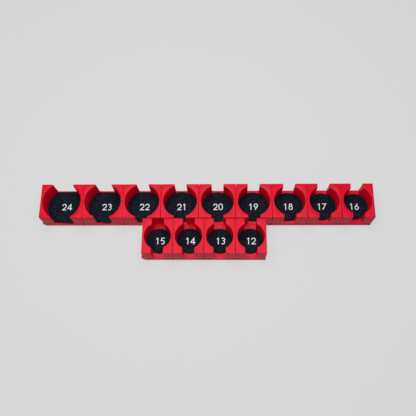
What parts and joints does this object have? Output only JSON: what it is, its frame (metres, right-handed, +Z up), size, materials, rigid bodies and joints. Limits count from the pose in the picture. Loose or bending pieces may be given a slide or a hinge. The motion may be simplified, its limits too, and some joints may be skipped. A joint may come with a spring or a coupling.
{
  "type": "modular socket organizer",
  "caption": "Two rows of interlocking open-top socket bins, each with a round pocket, finger slots front and rear, a numbered label pad and a magnet in its base.",
  "frame": {"origin": "centre of the set's footprint on the surface it stands on", "axes": "+X along the rows towards the smaller sockets, +Y from the front row to the back row, +Z up"},
  "size_m": [0.327, 0.0708, 0.024],
  "materials": {
    "housing": "satin moulded red plastic",
    "label_pad": "fine-grained black rubber",
    "magnet": "bright nickel plate"
  },
  "bodies": {
    "bin_24": {"bin_24_housing": "housing", "bin_24_label_pad": "label_pad", "bin_24_magnet": "magnet"},
    "bin_23": {"bin_23_housing": "housing", "bin_23_label_pad": "label_pad", "bin_23_magnet": "magnet"},
    "bin_22": {"bin_22_housing": "housing", "bin_22_label_pad": "label_pad", "bin_22_magnet": "magnet"},
    "bin_21": {"bin_21_housing": "housing", "bin_21_label_pad": "label_pad", "bin_21_magnet": "magnet"},
    "bin_20": {"bin_20_housing": "housing", "bin_20_label_pad": "label_pad", "bin_20_magnet": "magnet"},
    "bin_19": {"bin_19_housing": "housing", "bin_19_label_pad": "label_pad", "bin_19_magnet": "magnet"},
    "bin_18": {"bin_18_housing": "housing", "bin_18_label_pad": "label_pad", "bin_18_magnet": "magnet"},
    "bin_17": {"bin_17_housing": "housing", "bin_17_label_pad": "label_pad", "bin_17_magnet": "magnet"},
    "bin_16": {"bin_16_housing": "housing", "bin_16_label_pad": "label_pad", "bin_16_magnet": "magnet"},
    "bin_15": {"bin_15_housing": "housing", "bin_15_label_pad": "label_pad", "bin_15_magnet": "magnet"},
    "bin_14": {"bin_14_housing": "housing", "bin_14_label_pad": "label_pad", "bin_14_magnet": "magnet"},
    "bin_13": {"bin_13_housing": "housing", "bin_13_label_pad": "label_pad", "bin_13_magnet": "magnet"},
    "bin_12": {"bin_12_housing": "housing", "bin_12_label_pad": "label_pad", "bin_12_magnet": "magnet"}
  },
  "joints": [
    {"name": "slide_24_off_23", "type": "slide", "parent": "bin_23", "child": "bin_24", "axis": [0, 1, 0], "range_m": [0, 0.036]},
    {"name": "slide_23_off_22", "type": "slide", "parent": "bin_22", "child": "bin_23", "axis": [0, 1, 0], "range_m": [0, 0.036]},
    {"name": "slide_22_off_21", "type": "slide", "parent": "bin_21", "child": "bin_22", "axis": [0, 1, 0], "range_m": [0, 0.036]},
    {"name": "slide_21_off_20", "type": "slide", "parent": "bin_20", "child": "bin_21", "axis": [0, 1, 0], "range_m": [0, 0.036]},
    {"name": "slide_20_off_19", "type": "slide", "parent": "bin_19", "child": "bin_20", "axis": [0, 1, 0], "range_m": [0, 0.036]},
    {"name": "slide_19_off_18", "type": "slide", "parent": "bin_18", "child": "bin_19", "axis": [0, 1, 0], "range_m": [0, 0.036]},
    {"name": "slide_18_off_17", "type": "slide", "parent": "bin_17", "child": "bin_18", "axis": [0, 1, 0], "range_m": [0, 0.036]},
    {"name": "slide_17_off_16", "type": "slide", "parent": "bin_16", "child": "bin_17", "axis": [0, 1, 0], "range_m": [0, 0.036]},
    {"name": "front_row_away", "type": "slide", "parent": "bin_16", "child": "bin_15", "axis": [0, -1, 0], "range_m": [0, 0.05]},
    {"name": "slide_14_off_15", "type": "slide", "parent": "bin_15", "child": "bin_14", "axis": [0, -1, 0], "range_m": [0, 0.036]},
    {"name": "slide_13_off_14", "type": "slide", "parent": "bin_14", "child": "bin_13", "axis": [0, -1, 0], "range_m": [0, 0.036]},
    {"name": "slide_12_off_13", "type": "slide", "parent": "bin_13", "child": "bin_12", "axis": [0, -1, 0], "range_m": [0, 0.036]}
  ]
}
